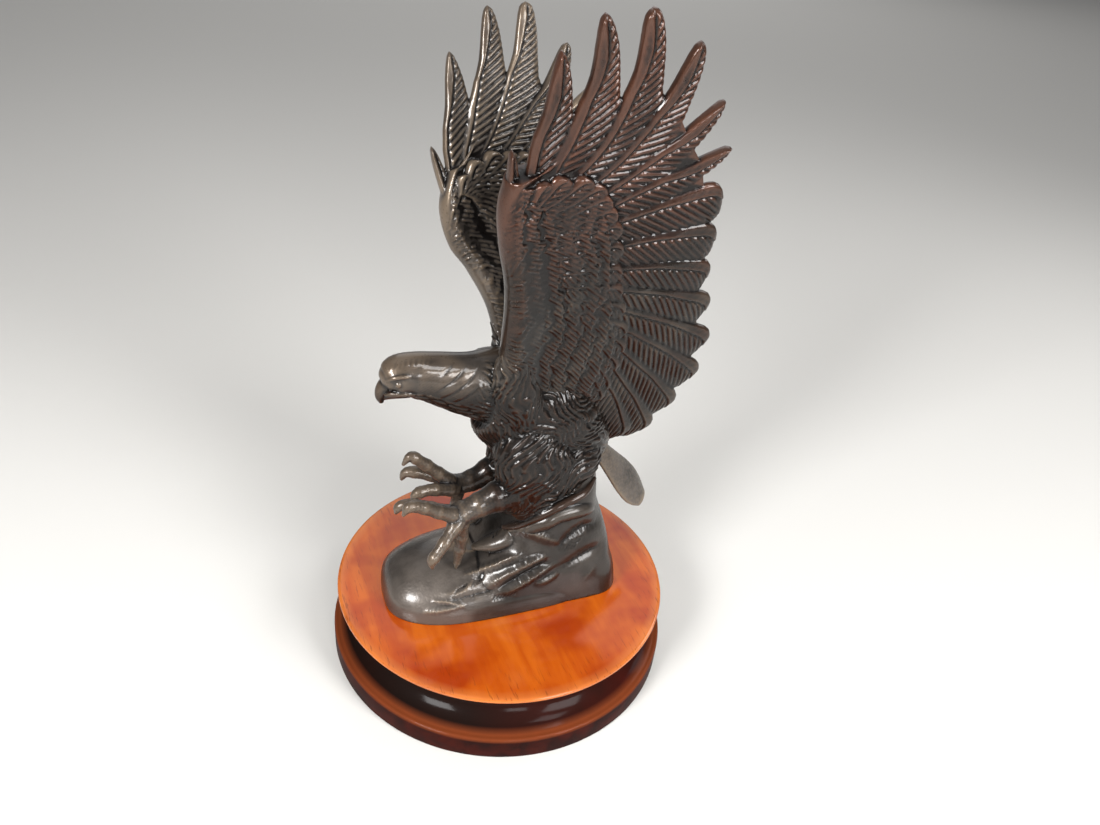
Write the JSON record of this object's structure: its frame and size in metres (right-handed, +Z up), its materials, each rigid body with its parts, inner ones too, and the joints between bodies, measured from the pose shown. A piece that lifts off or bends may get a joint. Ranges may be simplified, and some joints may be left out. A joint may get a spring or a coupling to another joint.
{
  "type": "eagle statue",
  "caption": "Table statue of an eagle landing with raised wings, cast in one piece with its rock and fixed to a round turned wooden plinth.",
  "frame": {"origin": "middle of the plinth's flat underside", "axes": "+Z up; the eagle looks along -X, and its left wing is on the -Y side"},
  "size_m": [0.1544, 0.1544, 0.2856],
  "materials": {
    "bronze": "dark brown patina, lacquered glossy",
    "wood": "orange-red stain under gloss varnish"
  },
  "bodies": {
    "root": {"eagle_casting": "bronze", "turned_plinth": "wood"}
  },
  "joints": []
}
